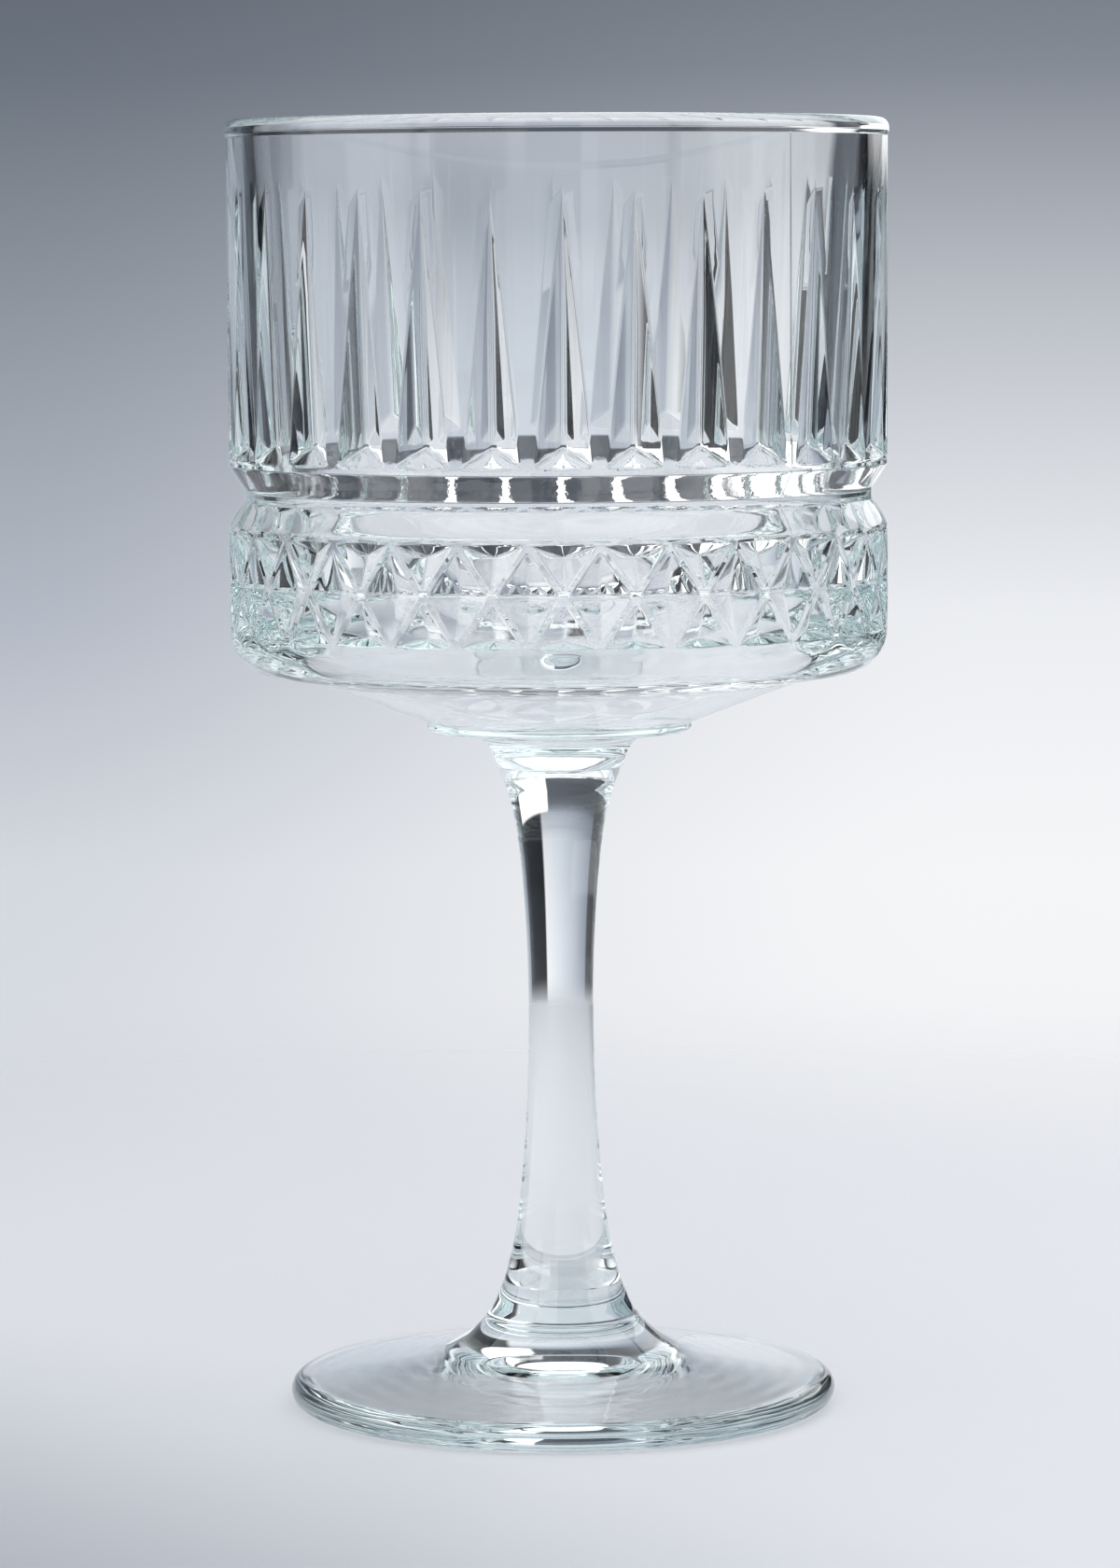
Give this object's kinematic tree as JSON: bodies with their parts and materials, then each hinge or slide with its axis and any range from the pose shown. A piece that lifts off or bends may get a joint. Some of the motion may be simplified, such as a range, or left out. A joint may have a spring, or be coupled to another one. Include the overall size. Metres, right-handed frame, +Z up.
{
  "type": "gin glass",
  "caption": "Stemmed gin glass in clear pressed glass: straight bowl with wedge cuts over a band of hollow diamonds, ring groove, thick base, waisted stem and round foot.",
  "frame": {"origin": "centre of the resting plane under the foot", "axes": "+Z up along the glass's axis, -Y through the middle of a wedge cut"},
  "size_m": [0.099, 0.099, 0.1936],
  "materials": {
    "bowl_glass": "clear fire-polished soda-lime glass with a faint blue-green tint in thick places",
    "stem_glass": "clear fire-polished soda-lime glass",
    "foot_glass": "clear fire-polished soda-lime glass with a faint blue-green edge"
  },
  "bodies": {
    "root": {"bowl": "bowl_glass", "stem": "stem_glass", "foot": "foot_glass"}
  },
  "joints": []
}
